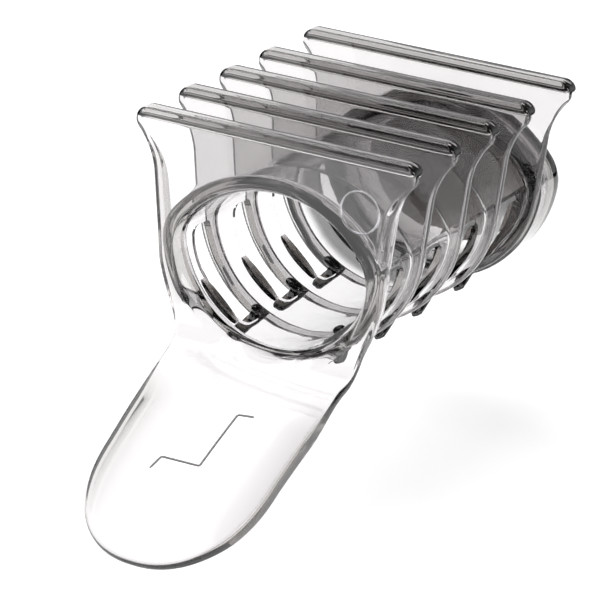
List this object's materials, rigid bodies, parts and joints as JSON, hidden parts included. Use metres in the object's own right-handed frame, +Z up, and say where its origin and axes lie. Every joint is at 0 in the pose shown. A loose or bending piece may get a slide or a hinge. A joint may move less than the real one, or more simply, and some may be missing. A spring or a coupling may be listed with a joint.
{
  "type": "cheek retractor",
  "caption": "Clear plastic cheek retractor: upright flared plates that slide along a windowed round channel, with a wide mouth, a closed rear end and an arched thumb tongue.",
  "frame": {"origin": "on the axis of the round channel, in the front face of the front plate", "axes": "+X across the object, +Y back along the channel, +Z up towards the straight top edges of the plates; the tongue points towards -Y and down"},
  "size_m": [0.04, 0.0807, 0.047],
  "materials": {
    "clear_front": "clear, moulded gloss",
    "clear_channel": "clear, moulded gloss",
    "clear_plates": "clear, faintly smoky, moulded gloss"
  },
  "bodies": {
    "frame": {"front_plate": "clear_front", "lower_channel": "clear_channel", "upper_channel": "clear_channel", "end_cap": "clear_channel"},
    "plate_2": {"ring_plate_2": "clear_plates"},
    "plate_3": {"ring_plate_3": "clear_plates"},
    "plate_4": {"ring_plate_4": "clear_plates"},
    "plate_5": {"ring_plate_5": "clear_plates"}
  },
  "joints": [
    {"name": "plate_2_slide", "type": "slide", "parent": "frame", "child": "plate_2", "axis": [0, -1, 0], "range_m": [0, 0.0033]},
    {"name": "plate_3_slide", "type": "slide", "parent": "frame", "child": "plate_3", "axis": [0, -1, 0], "range_m": [0, 0.0033]},
    {"name": "plate_4_slide", "type": "slide", "parent": "frame", "child": "plate_4", "axis": [0, -1, 0], "range_m": [0, 0.0033]},
    {"name": "plate_5_slide", "type": "slide", "parent": "frame", "child": "plate_5", "axis": [0, -1, 0], "range_m": [0, 0.0033]}
  ]
}
